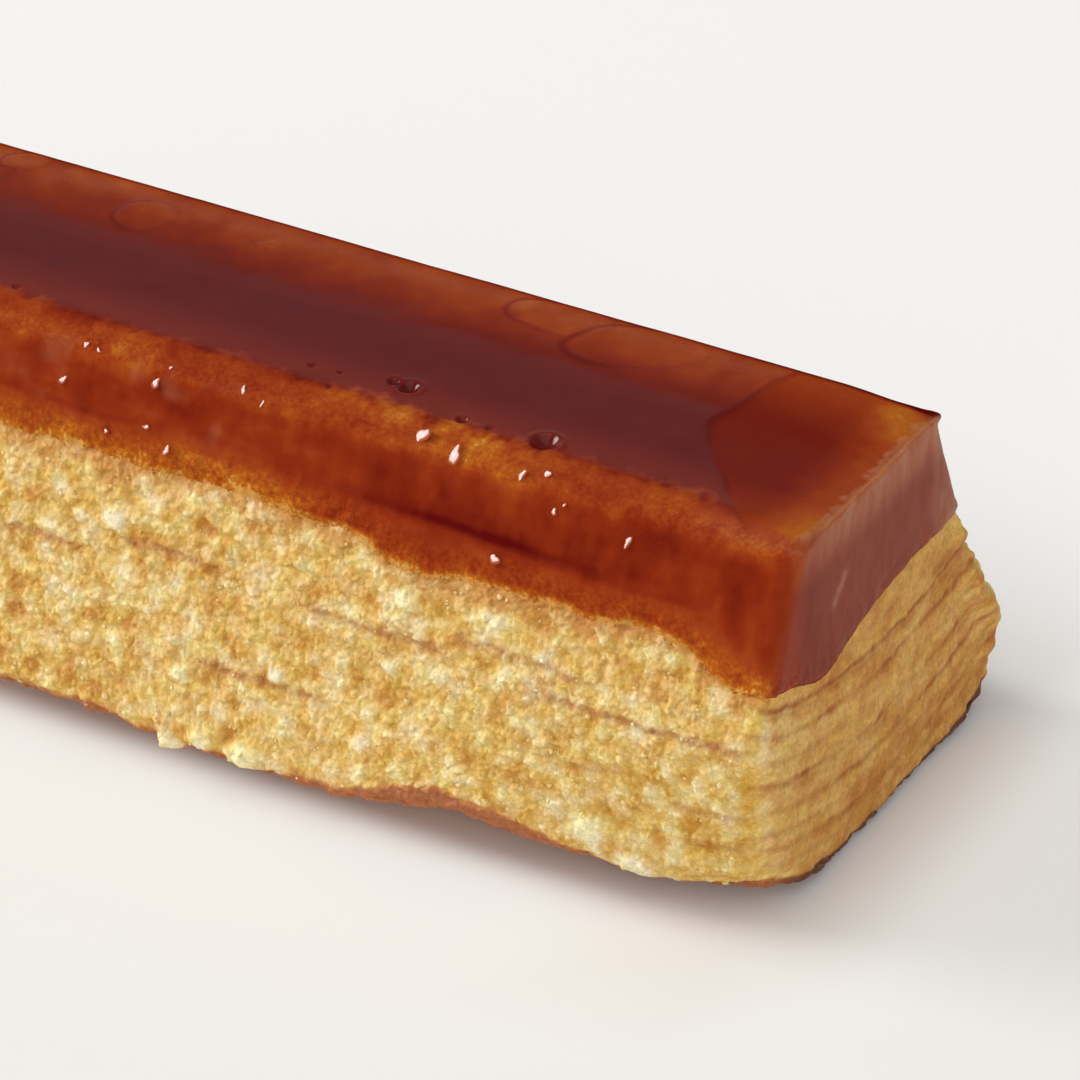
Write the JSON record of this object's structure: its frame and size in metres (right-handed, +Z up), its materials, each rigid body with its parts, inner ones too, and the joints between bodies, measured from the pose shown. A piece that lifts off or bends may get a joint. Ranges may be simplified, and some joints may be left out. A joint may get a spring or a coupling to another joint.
{
  "type": "baumkuchen bar",
  "caption": "Bar-shaped stick of layered ring cake, narrow side up, with a set caramel cap over its top and upper sides.",
  "frame": {"origin": "middle of the bar's box, on the surface it rests on", "axes": "+X along the bar towards the cut end that shows, +Y across it away from the long face that shows, +Z up"},
  "size_m": [0.1052, 0.0506, 0.0369],
  "materials": {
    "sponge": "moist open crumb with thin browned layer lines and a browned skin underneath",
    "caramel": "clear dark red-brown set caramel with a wet gloss"
  },
  "bodies": {
    "root": {"sponge": "sponge", "caramel": "caramel"}
  },
  "joints": []
}
